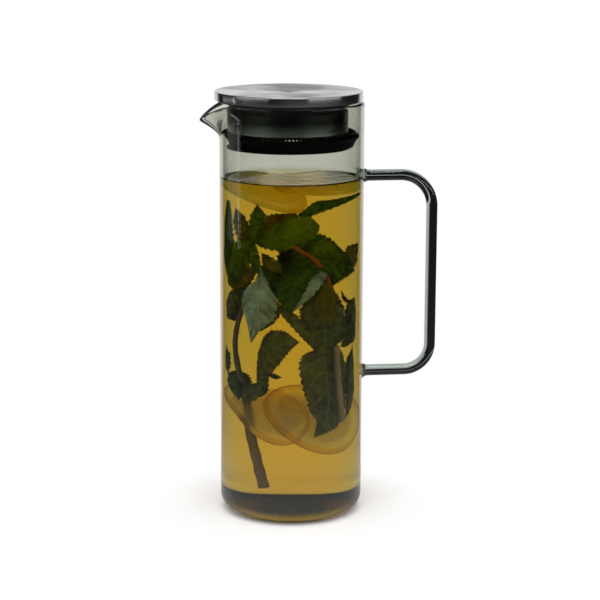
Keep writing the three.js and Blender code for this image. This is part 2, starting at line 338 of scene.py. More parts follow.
def floor_material():
    """Paper that runs out into the white backdrop, with painted shade: its glow fades under the jug, it
    darkens away from the jug as mirrored, and it is darkened as seen through the rod.
    """
    material, tree, _ = new_material("pale_floor")
    tree.nodes.clear()
    place = object_place(tree)
    away = length(tree, place)
    # painted shadow: the floor's glow fades out right under the jug
    glow_with_painted_shadow = remap(tree, away, (JUG_RADIUS - 9) * MM, (JUG_RADIUS + 1) * MM, high=FLOOR_GLOW, smooth=True)
    paper = add_node(tree, "BsdfDiffuse", {"Color": (0.9, 0.9, 0.9, 1)}).outputs[0]
    glow = add_node(tree, "Emission", {"Color": WHITE, "Strength": glow_with_painted_shadow}).outputs[0]
    glowing = add_node(tree, "AddShader", {0: paper, 1: glow}).outputs[0]
    white = add_node(tree, "Emission", {"Color": WHITE, "Strength": 1.0}).outputs[0]
    far = remap(tree, away, (JUG_RADIUS + 8) * MM, (JUG_RADIUS + 54) * MM, smooth=True)
    run_out = mix_shaders(tree, far, glowing, white)
    # painted shade: as it is mirrored, the floor darkens away from the jug, except behind it
    lit = maths(tree, "EXPONENT", maths(tree, "MULTIPLY", away, -1 / (PAINTED_FLOOR_FALLOFF * MM)))
    either = maths(tree, "MAXIMUM", lit, from_behind(tree, place))
    painted_mirror_shade = maths(tree, "MULTIPLY", maths(tree, "SUBTRACT", 1.0, either), on_paths(tree, "Glossy Depth"))
    dark = add_node(tree, "BsdfDiffuse", {"Color": BLACK}).outputs[0]
    faded = mix_shaders(tree, painted_mirror_shade, run_out, dark)
    # painted shade in the rod: seen straight through it, the floor is darkened, except where it stays white
    painted_rod_shade_mask = maths(tree, "SUBTRACT", through_rod(tree), white_round_rod(tree, place), clamp=True)
    behind_rod = mix_shaders(tree, maths(tree, "MULTIPLY", painted_rod_shade_mask, PAINTED_ROD_SHADE), faded, dark)
    add_node(tree, "OutputMaterial", {"Surface": behind_rod})
    return material


def add_floor():
    bpy.ops.mesh.primitive_circle_add(vertices=64, radius=FLOOR_RADIUS * MM, fill_type="NGON")
    floor = bpy.context.object
    floor.name = "floor"
    floor.location.z = -FLOOR_GAP * MM
    floor.data.materials.append(floor_material())


# Small helpers for pieces


def start_piece(name, primitive, **sizes):
    """A new piece from one of Blender's own shapes."""
    bpy.ops.object.select_all(action="DESELECT")
    primitive(**sizes)
    bpy.ops.object.transform_apply()
    piece = bpy.context.object
    piece.name = name
    return piece


def edit_all():
    bpy.ops.object.mode_set(mode="EDIT")
    bpy.ops.mesh.select_all(action="SELECT")


def end_edit(merge=0.0):
    """Merges points up to merge apart, turns all faces outwards and goes back to object mode."""
    bpy.ops.mesh.select_all(action="SELECT")
    if merge:
        bpy.ops.mesh.remove_doubles(threshold=merge * MM)
    bpy.ops.mesh.normals_make_consistent(inside=False)
    bpy.ops.object.mode_set(mode="OBJECT")


def select_where(piece, kind, chosen):
    """In edit mode, selects the verts or faces that chosen says yes to."""
    bpy.ops.mesh.select_all(action="DESELECT")
    bpy.ops.mesh.select_mode(type="FACE" if kind == "faces" else "VERT")
    shape = bmesh.from_edit_mesh(piece.data)
    for part in getattr(shape, kind):
        part.select = chosen(part)
    shape.select_flush_mode()
    bmesh.update_edit_mesh(piece.data)


def delete_faces(piece, chosen):
    select_where(piece, "faces", chosen)
    bpy.ops.mesh.delete(type="FACE")
    bpy.ops.mesh.select_mode(type="VERT")


def draw_out(x, z):
    bpy.ops.mesh.extrude_region_move(TRANSFORM_OT_translate={"value": (x * MM, 0, z * MM)})


def smooth_by(degrees):
    bpy.ops.object.shade_smooth_by_angle(angle=math.radians(degrees))


def arc(centre_radius, centre_height, radius, start, end, steps):
    points = []
    for i in range(steps + 1):
        angle = math.radians(start + (end - start) * i / steps)
        points.append((centre_radius + radius * math.cos(angle), centre_height + radius * math.sin(angle)))
    return points


def straight(start, end, steps):
    """Points from start up to end, with the end left out."""
    x, z = start
    return [(x + (end[0] - x) * i / steps, z + (end[1] - z) * i / steps) for i in range(steps)]


def turned(name, outline, axis_x=0.0, steps=128, smooth=25):
    """A closed outline of (radius, height) in millimetres, spun about an upright axis."""
    piece = start_piece(name, bpy.ops.mesh.primitive_circle_add, vertices=len(outline), fill_type="NOTHING")
    for vertex, (radius, height) in zip(piece.data.vertices, outline):
        vertex.co = Vector((axis_x + radius, 0, height)) * MM
    edit_all()
    bpy.ops.mesh.spin(steps=steps, angle=2 * math.pi, center=(axis_x * MM, 0, 0), axis=(0, 0, 1))
    end_edit(merge=TOUCHING)
    smooth_by(smooth)
    return piece


def thicken(piece, sheet):
    """Gives a sheet its thickness inwards."""
    modifier = piece.modifiers.new("sheet", "SOLIDIFY")
    modifier.thickness = sheet * MM
    modifier.offset = -1
    bpy.ops.object.modifier_apply(modifier=modifier.name)


def slotted_wall(name, radius, heights, slot_heights, sheet, axis_x):
    """A thin round wall with a row of short slots, all through it."""
    bottom, top = heights
    slot_bottom, slot_top = slot_heights
    wall = start_piece(
        name, bpy.ops.mesh.primitive_circle_add, vertices=4 * SLOTS, radius=radius * MM, fill_type="NOTHING",
        location=(axis_x * MM, 0, bottom * MM))
    edit_all()
    for step in (slot_bottom - bottom, slot_top - slot_bottom, top - slot_top):
        draw_out(0, step)
    end_edit()

    def is_slot(face):
        middle = face.calc_center_median()
        angle = math.atan2(middle.y, middle.x - axis_x * MM) + math.pi
        column = int(angle / (2 * math.pi) * 4 * SLOTS)
        return column % 4 < 2 and slot_bottom * MM < middle.z < slot_top * MM

    bpy.ops.object.mode_set(mode="EDIT")
    delete_faces(wall, is_slot)
    bpy.ops.object.mode_set(mode="OBJECT")
    thicken(wall, sheet)
    smooth_by(25)
    return wall


def one_piece(name, *parts):
    bpy.ops.object.select_all(action="DESELECT")
    for part in parts:
        part.select_set(True)
    bpy.context.view_layer.objects.active = parts[0]
    bpy.ops.object.join()
    parts[0].name = name
    return parts[0]


def dress(piece, material):
    piece.data.materials.clear()
    piece.data.materials.append(material)


# Glass and tea


def glass_material(name, tint, waves, wave_depth, absorption, density, index=1.5):
    """Glass or tea: clear, faintly wavy, and coloured by what it absorbs inside."""
    material, tree, shader = new_material(name)
    swell = noise(tree, mapping(tree, object_place(tree), Scale=waves), 1.0, detail=1.0)
    volume = add_node(tree, "VolumeAbsorption", {"Color": opaque(absorption), "Density": density})
    set_sockets(tree, shader, {
        "Base Color": opaque(tint), "Roughness": 0.0, "IOR": index, "Transmission Weight": 1.0,
        "Normal": bump(tree, swell, wave_depth * MM, 1.0)})
    set_sockets(tree, tree.nodes["Material Output"], {"Volume": volume.outputs[0]})
    return material


def rim_at(turn):
    """Radius and height of the rim at an angle from the middle of the spout."""
    tip_angle = math.acos(JUG_RADIUS / (JUG_RADIUS + SPOUT_REACH))
    half_width = tip_angle + SPOUT_TIP_TURN
    turn = min(abs(turn), half_width)
    rounded = math.hypot(turn, SPOUT_TIP_TURN * (1 - turn / half_width))
    from_side = half_width - rounded
    along = math.tan(from_side) / math.tan(tip_angle)
    return JUG_RADIUS / math.cos(from_side), JUG_HEIGHT - SPOUT_DROP * along ** SPOUT_DROP_POWER


def draw_spout(jug):
    """Leans the upper wall outwards at the spout, as the glass is drawn out of the straight neck."""
    half_wall = JUG_WALL / 2
    for vertex in jug.data.vertices:
        x, y, z = vertex.co / MM
        angle = math.atan2(y, -x)
        lip_radius, lip_height = rim_at(angle)
        share = (lip_radius - JUG_RADIUS) / SPOUT_REACH
        # deep in the middle, shallow at its sides
        depth = SPOUT_DEPTH * (SPOUT_SIDE_DEPTH + (1 - SPOUT_SIDE_DEPTH) * share ** SPOUT_SIDE_POWER)
        root_height = JUG_HEIGHT - depth
        if z < root_height:
            continue
        lean = math.pi / 2 + (SPOUT_RISE - math.pi / 2) * share
        way = Vector((math.cos(lean), math.sin(lean)))
        root = Vector((JUG_RADIUS, root_height))
        lip = Vector((lip_radius, lip_height)) - way * half_wall
        chord = (lip - root).length
        a, b = root, root + Vector((0, SPOUT_ROOT_PULL * chord))
        c, d = lip - way * SPOUT_LIP_PULL * chord, lip
        under = min(z, JUG_HEIGHT - half_wall)
        t = (under - root_height) / (JUG_HEIGHT - half_wall - root_height)
        s = 1 - t
        on_wall = a * s**3 + b * 3 * s * s * t + c * 3 * s * t * t + d * t**3
        tangent = ((b - a) * s * s + (c - b) * 2 * s * t + (d - c) * t * t).normalized()
        inward = Vector((-tangent.y, tangent.x))
        spot = on_wall + inward * (JUG_RADIUS - math.hypot(x, y)) + tangent * (z - under)
        vertex.co = Vector((-spot.x * math.cos(angle), spot.x * math.sin(angle), spot.y)) * MM


def make_jug():
    inside = JUG_RADIUS - JUG_WALL
    inner_foot = FOOT_RADIUS - JUG_WALL
    neck = JUG_HEIGHT - SPOUT_DEPTH
    half_wall = JUG_WALL / 2
    rim = JUG_HEIGHT - half_wall
    # the underside is a little hollow, so the jug stands on a ring
    outline = [(0, 0.45), (12, 0.45), (24, 0.42), (31, 0.3), (34, 0.12)]
    outline += arc(JUG_RADIUS - FOOT_RADIUS, FOOT_RADIUS, FOOT_RADIUS, -90, 0, 14)
    outline += [(JUG_RADIUS, 60), (JUG_RADIUS, 120), (JUG_RADIUS, 180)]
    outline += straight((JUG_RADIUS, neck), (JUG_RADIUS, rim), 24)
    outline += arc(JUG_RADIUS - half_wall, rim, half_wall, 0, 180, 10)
    outline += straight((inside, rim), (inside, neck), 24)[1:]
    outline += [(inside, neck), (inside, 180), (inside, 120), (inside, 60)]
    outline += arc(inside - inner_foot, BASE_THICKNESS + inner_foot, inner_foot, 0, -90, 12)
    outline += [(24, BASE_THICKNESS), (12, BASE_THICKNESS), (0, BASE_THICKNESS)]
    jug = turned("jug_clear_glass", outline, steps=JUG_STEPS, smooth=60)
    draw_spout(jug)
    smoke = (0.45, 0.48, 0.36)
    dress(jug, glass_material("smoke_glass", (0.97, 0.98, 0.96), (45, 45, 9), 0.05, smoke, 190.0))
    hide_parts("jug_glass")
    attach(jug, "jug")


def flare_end(rod, height, pad):
    """Draws the rod's end out to the wall, ring by ring and ever wider, and closes it."""
    radius = ROD_RADIUS
    place = JUG_RADIUS + PAD_LENGTH

    def at_end(vertex):
        away = vertex.co / MM - Vector((place, 0, height))
        return abs(away.x) < 10 * TOUCHING and away.length < 2 * LOWER_PAD

    for share in PAD_RINGS:
        select_where(rod, "verts", at_end)
        wanted = ROD_RADIUS + (pad - ROD_RADIUS) * share ** PAD_FLARE
        step = JUG_RADIUS + PAD_LENGTH * (1 - share) - place
        draw_out(step, 0)
        place += step
        bpy.ops.transform.resize(
            value=(1, wanted / radius, wanted / radius), center_override=(place * MM, 0, height * MM))
        radius = wanted
    bpy.ops.mesh.edge_face_add()


def make_handle():
    """A rod of glass drawn out along the upper arm, bent down, bent back, and flared at both ends."""
    start = JUG_RADIUS + PAD_LENGTH
    rod = start_piece(
        "handle_glass_rod", bpy.ops.mesh.primitive_circle_add, vertices=40, radius=ROD_RADIUS * MM,
        fill_type="NOTHING", location=(start * MM, 0, UPPER_ARM * MM), rotation=(0, math.pi / 2, 0))
    edit_all()

    def bend(x, z):
        bpy.ops.mesh.spin(steps=24, angle=-math.pi / 2, center=(x * MM, 0, z * MM), axis=(0, 1, 0))

    draw_out(HANDLE_REACH - UPPER_BEND - start, 0)
    bend(HANDLE_REACH - UPPER_BEND, UPPER_ARM - UPPER_BEND)
    draw_out(0, -(UPPER_ARM - LOWER_ARM - UPPER_BEND - LOWER_BEND))
    bend(HANDLE_REACH - LOWER_BEND, LOWER_ARM + LOWER_BEND)
    draw_out(-(HANDLE_REACH - LOWER_BEND - start), 0)
    flare_end(rod, UPPER_ARM, UPPER_PAD)
    flare_end(rod, LOWER_ARM, LOWER_PAD)
    end_edit(merge=TOUCHING)
    # the flared ends follow the round wall
    wall = JUG_RADIUS + 0.05
    for vertex in rod.data.vertices:
        x, y, z = vertex.co / MM
        if x < start:
            share = (start - x) / PAD_LENGTH
            vertex.co.x = (x + (math.sqrt(wall**2 - y**2) - JUG_RADIUS) * share) * MM
    smooth_by(50)
    dress(rod, glass_material("rod_glass", (0.94, 0.97, 0.95), (60, 60, 60), 0.05, (0.40, 0.46, 0.40), 220.0))
    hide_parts("handle_glass", "handle_weld_upper", "handle_weld_lower")
    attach(rod, "jug")


def ripple_top(material):
    """Ripples on the tea's top only: at the glass it is as smooth as the wall."""
    tree = material.node_tree
    height = split(tree, object_place(tree))["Z"]
    on_top = remap(tree, height, (TEA_LEVEL - 1) * MM, (TEA_LEVEL - 0.2) * MM)
    set_sockets(tree, tree.nodes["Bump"], {"Strength": on_top})


def make_tea():
    inside = JUG_RADIUS - JUG_WALL + TEA_SOAK
    inner_foot = FOOT_RADIUS - JUG_WALL + TEA_SOAK
    floor = BASE_THICKNESS - TEA_SOAK
    outline = [(0, floor), (12, floor), (24, floor)]
    outline += arc(inside - inner_foot, floor + inner_foot, inner_foot, -90, 0, 12)
    outline += [(inside, 60), (inside, 120), (inside, 180)]
    # the tea climbs a little up the wall
    for back, share in ((0, 1), (0.35, 0.62), (0.9, 0.33), (1.9, 0.12), (3.2, 0)):
        outline.append((inside - back, TEA_LEVEL + share * TEA_CLIMB))
    outline += [(30, TEA_LEVEL), (15, TEA_LEVEL), (0, TEA_LEVEL)]
    tea = turned("contents_tea", outline, steps=JUG_STEPS, smooth=50)
    material = glass_material(
        "cold_tea", (1, 1, 1), (120, 120, 120), 0.9, (1.0, 0.825, 0.055), 38.0, index=1.33)
    ripple_top(material)
    dress(tea, material)
    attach(tea, "jug")


# Lid, strainer and seal


def brushed_steel(name, colour, edge_tint, roughness, scratches, depth):
    """Steel brushed in circles about the lid's axis, on the flat as on the skirt."""
    material, tree, shader = new_material(name)
    around = add_node(tree, "Tangent", {}, direction_type="RADIAL", axis="Z").outputs[0]
    place = object_place(tree)
    centred = mapping(tree, place, Location=(-LID_X * MM, 0, 0))
    flat = add_node(tree, "VectorMath", {0: centred, 1: (1, 1, 0)}, operation="MULTIPLY").outputs[0]
    radius = length(tree, flat)
    spot = split(tree, centred)
    # long, thin scratches: they change fast across the brushing and slowly along it
    across = maths(tree, "MULTIPLY", maths(tree, "SUBTRACT", radius, spot["Z"]), scratches)
    angle = maths(tree, "ARCTAN2", spot["Y"], spot["X"])
    along = add_node(tree, "CombineXYZ", {"X": across, "Y": angle}).outputs[0]
    scratch = noise(tree, along, 1.0, detail=5.0, roughness=0.7)
    worn = noise(tree, place, 45.0, detail=3.0)
    # the scratches run out towards the middle, where they would cross
    calm = remap(tree, radius, 0.0, 8 * MM, high=0.5)
    set_sockets(tree, shader, {
        "Metallic": 1.0, "Specular Tint": opaque(edge_tint), "Anisotropic": 0.8, "Anisotropic Rotation": 0.25,
        "Tangent": around,
        "Base Color": mix_colours(tree, scratch, opaque(colour, 0.72), opaque(colour, 1.28)),
        "Roughness": remap(tree, worn, 0.3, 0.7, roughness - 0.05, roughness + 0.07),
        "Normal": bump(tree, scratch, depth * MM, calm)})
    return material


def moulded_material(name, colour, roughness, grain, depth):
    """Moulded plastic or rubber: a fine grain, and patches that are handled smoother than others."""
    material, tree, shader = new_material(name)
    place = object_place(tree)
    fine = noise(tree, place, grain, detail=3.0)
    patches = noise(tree, place, 70.0, detail=4.0)
    set_sockets(tree, shader, {
        "Specular IOR Level": 0.25,
        "Base Color": mix_colours(tree, patches, opaque(colour, 0.7), opaque(colour, 1.5)),
        "Roughness": remap(tree, patches, 0.3, 0.7, roughness - 0.08, roughness + 0.1),
        "Normal": bump(tree, fine, depth * MM, 0.4)})
    return material


def make_cap():
    """A shallow pressed cup of sheet steel, its top sunk a little towards the middle."""
    inner = CAP_RADIUS - CAP_SHEET
    under = CAP_TOP - CAP_SHEET
    outline = [(0, under), (20, under), *arc(inner - 0.5, under - 0.5, 0.5, 90, 0, 4)]
    outline += [(inner, CAP_BOTTOM + 0.2), (inner + 0.2, CAP_BOTTOM), (CAP_RADIUS - 0.25, CAP_BOTTOM),
                (CAP_RADIUS - 0.07, CAP_BOTTOM + 0.07), (CAP_RADIUS, CAP_BOTTOM + 0.25)]
    outline += arc(CAP_RADIUS - CAP_EDGE, CAP_TOP - CAP_EDGE, CAP_EDGE, 0, 90, 8)
    for step in range(1, 13):
        outline.append(((CAP_RADIUS - CAP_EDGE) * (1 - step / 12), CAP_TOP - CAP_DISH * step / 12))
    cap = turned("lid_steel_cap", outline, axis_x=LID_X, steps=160, smooth=30)
    dress(cap, brushed_steel("lid_brushed_steel", (0.6, 0.6, 0.59), (0.8, 0.8, 0.8), 0.2, 7000.0, 0.01))
    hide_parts("lid_cap")
    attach(cap, "lid")


def make_lid_body(plastic):
    """The plastic body: a plate with a ring that rests on the rim, and the collar of the strainer."""
    spigot = SLEEVE_RADIUS - SLEEVE_SHEET - SEAT_GAP
    spigot_end = SLEEVE_TOP - COLLAR_SPIGOT
    bore = STRAINER_RADIUS - COLLAR_WALL
    flange_bore = FLANGE_RADIUS - FLANGE_WIDTH
    outline = [
        (0, PLATE_BOTTOM), (20, PLATE_BOTTOM), (bore - 0.6, PLATE_BOTTOM), (bore, PLATE_BOTTOM - 0.6),
        (bore, spigot_end), (spigot - 0.3, spigot_end), (spigot, spigot_end + 0.3), (spigot, SLEEVE_TOP),
        (STRAINER_RADIUS - 0.15, SLEEVE_TOP), (STRAINER_RADIUS, SLEEVE_TOP + 0.15),
        (STRAINER_RADIUS, PLATE_BOTTOM - 0.8), (STRAINER_RADIUS + 0.8, PLATE_BOTTOM),
        (flange_bore, PLATE_BOTTOM), (flange_bore, FLANGE_BOTTOM + 0.3), (flange_bore + 0.3, FLANGE_BOTTOM),
        (FLANGE_RADIUS - 0.3, FLANGE_BOTTOM), (FLANGE_RADIUS, FLANGE_BOTTOM + 0.3),
        (FLANGE_RADIUS, PLATE_TOP - 0.4), (FLANGE_RADIUS - 0.4, PLATE_TOP), (20, PLATE_TOP), (0, PLATE_TOP),
    ]
    body = turned("lid_plastic_body", outline, axis_x=LID_X)
    dress(body, plastic)
    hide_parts("lid_body")
    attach(body, "lid")


def make_bond_pad():
    """A disc of thin foam tape, with two rings inset in its faces and its edge a little uneven."""
    radius = CAP_RADIUS - PAD_INSET
    middle = PLATE_TOP + PAD_THICKNESS / 2
    pad = start_piece(
        "cap_foam_pad", bpy.ops.mesh.primitive_cylinder_add, vertices=96, radius=radius * MM,
        depth=PAD_THICKNESS * MM, location=(LID_X * MM, 0, middle * MM))
    bpy.ops.object.mode_set(mode="EDIT")
    select_where(pad, "faces", lambda face: abs(face.normal.z) > 0.9)
    bpy.ops.mesh.inset(thickness=1.2 * MM)
    bpy.ops.mesh.inset(thickness=12 * MM)
    bpy.ops.mesh.select_mode(type="VERT")
    bpy.ops.object.mode_set(mode="OBJECT")
    for vertex in pad.data.vertices:
        x, y = vertex.co.x - LID_X * MM, vertex.co.y
        if math.hypot(x, y) > (radius - 0.1) * MM:
            angle = math.atan2(y, x)
            pull = 1 - 0.002 * (1 + math.sin(7 * angle) * math.cos(3 * angle))
            vertex.co.x = LID_X * MM + x * pull
            vertex.co.y = y * pull
    dress(pad, moulded_material("bonding_foam", (0.09, 0.09, 0.09), 0.85, 3500.0, 0.3))
    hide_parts("cap_bond_pad")
    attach(pad, "lid")


def paint_strainer_shade(material):
    """Painted shade on the strainer's sheet: bright at its lower edge, painted darker up towards the collar,
    and painted dark inside.
    """
    tree = material.node_tree
    place = object_place(tree)
    top_hole = (FIRST_HOLE + HOLE_PITCH * HOLE_ROWS) * MM
    painted_shade_upwards = remap(tree, split(tree, place)["Z"], (SLEEVE_BOTTOM + 1) * MM, top_hole, 1.0, 0.1)
    radius = length(tree, mapping(tree, place, Location=(-LID_X * MM, 0, 0), Scale=(1, 1, 0)))
    outwards = remap(tree, radius, (SLEEVE_RADIUS - 0.3) * MM, (SLEEVE_RADIUS - 0.1) * MM, 0.05)
    # painted shade: the colour is scaled down towards the collar and on the inner face
    share = maths(tree, "MULTIPLY", painted_shade_upwards, outwards)
    colour = tree.nodes["Principled BSDF"].inputs["Base Color"]
    sockets = {0: colour.links[0].from_socket, "Scale": share}
    painted_shade_colour = add_node(tree, "VectorMath", sockets, operation="SCALE").outputs[0]
    tree.links.new(painted_shade_colour, colour)


def perforate(sleeve):
    """Cuts a hole at every crossing of the lattice, in edit mode: what a bevel leaves there is the hole."""
    low, high = (FIRST_HOLE - 0.1) * MM, (FIRST_HOLE + HOLE_PITCH * HOLE_ROWS) * MM
    select_where(sleeve, "verts", lambda vertex: low < vertex.co.z < high)
    crossings = [vertex.co.copy() for vertex in bmesh.from_edit_mesh(sleeve.data).verts if vertex.select]
    bpy.ops.mesh.bevel(offset=HOLE_RADIUS * MM, affect="VERTICES", segments=1)
    places = KDTree(len(crossings))
    for i, place in enumerate(crossings):
        places.insert(place, i)
    places.balance()
    delete_faces(sleeve, lambda face: places.find(face.calc_center_median())[2] < 0.15 * MM)


def make_sleeve():
    """Perforated sheet: a flat lattice of triangles, rolled up and closed, with a hole at every crossing."""
    sleeve = start_piece(
        "strainer_steel_sleeve", bpy.ops.mesh.primitive_grid_add,
        x_subdivisions=HOLE_COLUMNS, y_subdivisions=HOLE_ROWS + 2, size=2)
    holes = [FIRST_HOLE + HOLE_PITCH * i for i in range(HOLE_ROWS)]
    rows = [SLEEVE_BOTTOM, *holes, SLEEVE_TOP - 4.5, SLEEVE_TOP]
    circumference = 2 * math.pi * SLEEVE_RADIUS
    for vertex in sleeve.data.vertices:
        column = round((vertex.co.x + 1) / 2 * HOLE_COLUMNS)
        row = round((vertex.co.y + 1) / 2 * (HOLE_ROWS + 2))
        height = rows[row]
        if column % 2 and 1 <= row <= HOLE_ROWS:
            height += HOLE_PITCH / 2
        vertex.co = (column / HOLE_COLUMNS * circumference * MM, height * MM, 0)
    edit_all()
    bpy.ops.mesh.quads_convert_to_tris(quad_method="SHORTEST_DIAGONAL")
    bpy.ops.object.mode_set(mode="OBJECT")
    radius = SLEEVE_RADIUS * MM
    for vertex in sleeve.data.vertices:
        angle = vertex.co.x / radius
        vertex.co = (LID_X * MM + radius * math.cos(angle), radius * math.sin(angle), vertex.co.y)
    edit_all()
    bpy.ops.mesh.remove_doubles(threshold=2.5 * TOUCHING * MM)
    perforate(sleeve)
    end_edit()
    thicken(sleeve, SLEEVE_SHEET)
    smooth_by(30)
    steel = brushed_steel("strainer_sheet_steel", (0.84, 0.90, 0.86), (0.9, 0.92, 0.9), 0.5, 9000.0, 0.02)
    # painted shade on the strainer: darker towards the collar and inside
    paint_strainer_shade(steel)
    dress(sleeve, steel)
    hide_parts("strainer_sleeve")
    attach(sleeve, "lid")


def make_carrier(plastic):
    """The strainer's lower end: a flange under the seal, a slotted neck, a shoulder under the sleeve."""
    spigot = SLEEVE_RADIUS - SLEEVE_SHEET - SEAT_GAP
    neck_bottom, neck_top = CARRIER_NECK_HEIGHTS
    foot = turned("carrier_foot", [
        (CARRIER_BORE + 0.7, CARRIER_BOTTOM), (CARRIER_FLANGE - 0.3, CARRIER_BOTTOM),
        (CARRIER_FLANGE, CARRIER_BOTTOM + 0.3), (CARRIER_FLANGE, CARRIER_BOTTOM + 0.8),
        (CARRIER_FLANGE - 0.2, CARRIER_BOTTOM + 1), (CARRIER_NECK, CARRIER_BOTTOM + 1),
        (CARRIER_NECK, neck_bottom), (CARRIER_BORE, neck_bottom), (CARRIER_BORE, CARRIER_BOTTOM + 0.7),
    ], axis_x=LID_X)
    head = turned("carrier_head", [
        (CARRIER_BORE, neck_top), (CARRIER_NECK, neck_top), (CARRIER_NECK, neck_top + 0.1),
        (SLEEVE_RADIUS - 0.1, neck_top + 0.1), (SLEEVE_RADIUS, neck_top + 0.2),
        (SLEEVE_RADIUS, SLEEVE_BOTTOM), (spigot, SLEEVE_BOTTOM), (spigot, SLEEVE_BOTTOM + 0.8),
        (spigot - 0.2, SLEEVE_BOTTOM + 1.0), (CARRIER_BORE, SLEEVE_BOTTOM + 1.0),
    ], axis_x=LID_X)
    wall = CARRIER_NECK - CARRIER_BORE
    neck = slotted_wall("carrier_neck", CARRIER_NECK, CARRIER_NECK_HEIGHTS, CARRIER_SLOT_HEIGHTS, wall, LID_X)
    carrier = one_piece("seal_plastic_carrier", foot, head, neck)
    dress(carrier, plastic)
    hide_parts("seal_carrier")
    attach(carrier, "lid")


def make_seal():
    """A soft ring: a tapered foot, a thin fin that reaches for the glass, and a thin slotted upper wall."""
    wall_bottom, wall_top = SEAL_WALL_HEIGHTS
    wall_inside = SEAL_RADIUS - SEAL_WALL
    edge_height = wall_top + 0.2
    foot = turned("seal_foot", [
        (SEAL_BORE, SEAL_BOTTOM), (40.4, SEAL_BOTTOM), (41.2, 248.6), (SEAL_RADIUS, 250.4),
        (SEAL_RADIUS, 250.6), (43.1, 251.9), (44.05, 253.35), (44.2, 253.6), (44.15, 253.9), (43.9, 253.95),
        (42.9, 252.9), (SEAL_RADIUS, 251.9), (SEAL_RADIUS, wall_bottom), (wall_inside, wall_bottom),
        (39.6, wall_bottom), (SEAL_BORE, 252.0),
    ], steps=160, smooth=40)
    lip = turned("seal_lip", [
        (wall_inside, wall_top), (SEAL_RADIUS, wall_top), (SEAL_RADIUS, edge_height),
        *arc(SEAL_RADIUS - SEAL_EDGE, edge_height, SEAL_EDGE, 0, 90, 5)[1:],
        (40.2, edge_height + SEAL_EDGE), (40.2, 255.6), (40.4, 255.4), (wall_inside, 255.4),
    ], steps=160, smooth=40)
    wall = slotted_wall("seal_wall", SEAL_RADIUS, SEAL_WALL_HEIGHTS, SEAL_SLOT_HEIGHTS, SEAL_WALL, 0)
    seal = one_piece("seal_soft_ring", foot, lip, wall)
    dress(seal, moulded_material("black_silicone", (0.002, 0.002, 0.002), 0.6, 900.0, 0.1))
    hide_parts("seal_ring")
    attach(seal, "seal")


# Mint, stems and lemon. They are placed in the photograph's own directions: x right, y away, z up


def into_jug(piece):
    """Turns a piece from the photograph's directions to the jug's."""
    piece.data.transform(Matrix.Rotation(VIEW_TURN, 4, "Z"))


def against_wall(piece):
    """What would reach through the wall lies along it instead."""
    for vertex in piece.data.vertices:
        away = math.hypot(vertex.co.x, vertex.co.y)
        if away > INSIDE_JUG * MM:
            vertex.co.x *= INSIDE_JUG * MM / away
            vertex.co.y *= INSIDE_JUG * MM / away


def leaf_material(name, blade, vein, through, share):
    """A wrinkled leaf: pale veins, raised fields between them, and some light that comes through."""
    material, tree, shader = new_material(name)
    face = add_node(tree, "UVMap", {}).outputs[0]
    on_face = split(tree, face)
    from_rib = maths(tree, "ABSOLUTE", maths(tree, "SUBTRACT", on_face["Y"], 0.5))
    # side veins leave the midrib forwards and bend up along the edge
    bent = maths(tree, "POWER", from_rib, 1.4)
    slant = maths(tree, "MULTIPLY_ADD", bent, -0.5, on_face["X"])
    uneven = maths(tree, "MULTIPLY_ADD", noise(tree, face, 5.0), 0.07, slant)
    wave = maths(tree, "PINGPONG", maths(tree, "MULTIPLY", uneven, 8.0), 0.5)
    side_vein = remap(tree, wave, 0.10, 0.0, high=0.75)
    midrib = remap(tree, from_rib, 0.025, 0.0)
    veins = maths(tree, "MAXIMUM", side_vein, midrib)
    place = object_place(tree)
    patches = remap(tree, noise(tree, place, 130.0, detail=5.0), 0.35, 0.65)
    patchy = mix_colours(tree, patches, opaque(blade, 0.62), opaque(blade, 1.35))
    colour = mix_colours(tree, veins, patchy, opaque(vein))
    # the small net of veins puckers the blade
    net = add_node(tree, "TexVoronoi", {"Vector": place, "Scale": 620.0}).outputs["Distance"]
    wrinkled = bump(tree, maths(tree, "MULTIPLY_ADD", net, -0.35, wave), 2.2 * MM, 0.9)
    set_sockets(tree, shader, {"Base Color": colour, "Roughness": 0.5, "IOR": 1.1, "Normal": wrinkled})
    glow = add_node(tree, "BsdfTranslucent", {"Color": opaque(through), "Normal": wrinkled}).outputs[0]
    blend = mix_shaders(tree, share, shader.outputs[0], glow)
    set_sockets(tree, tree.nodes["Material Output"], {"Surface": blend})
    return material


def stem_material(name, colour, streak):
    material, tree, shader = new_material(name)
    fibres = noise(tree, mapping(tree, object_place(tree), Scale=(900, 900, 60)), 1.0)
    mixed = mix_colours(tree, fibres, opaque(colour), opaque(streak))
    set_sockets(tree, shader, {"Base Color": mixed, "Roughness": 0.45, "IOR": 1.1})
    return material


def lemon_material(name, flesh_dark, flesh_light, white, yellow, clear_flesh, clear_rind):
    """A lemon slice: flesh in nine wedges, a white ring and a yellow skin. Some light comes through."""
    material, tree, shader = new_material(name)
    face = add_node(tree, "UVMap", {}, uv_map=SLICE_UV).outputs[0]
    centred = add_node(tree, "VectorMath", {0: face, 1: (0.5, 0.5, 0)}, operation="SUBTRACT").outputs[0]
    out = length(tree, centred)
    spot = split(tree, centred)
    angle = maths(tree, "ARCTAN2", spot["Y"], spot["X"])
    wedge = maths(tree, "PINGPONG", maths(tree, "MULTIPLY", angle, 9 / (2 * math.pi)), 0.5)
    between = remap(tree, wedge, 0.08, 0.02)
    flesh = mix_colours(tree, noise(tree, face, 22.0), opaque(flesh_dark), opaque(flesh_light))
    lined = mix_colours(tree, between, flesh, opaque(white))
    pith = mix_colours(tree, remap(tree, out, 0.37, 0.40), lined, opaque(white))
    rind = mix_colours(tree, remap(tree, out, 0.465, 0.485), pith, opaque(yellow))
    clear = remap(tree, out, 0.37, 0.40, clear_flesh, clear_rind)
    set_sockets(tree, shader, {
        "Base Color": rind, "Roughness": 0.45, "IOR": 1.06, "Transmission Weight": clear})
    return material


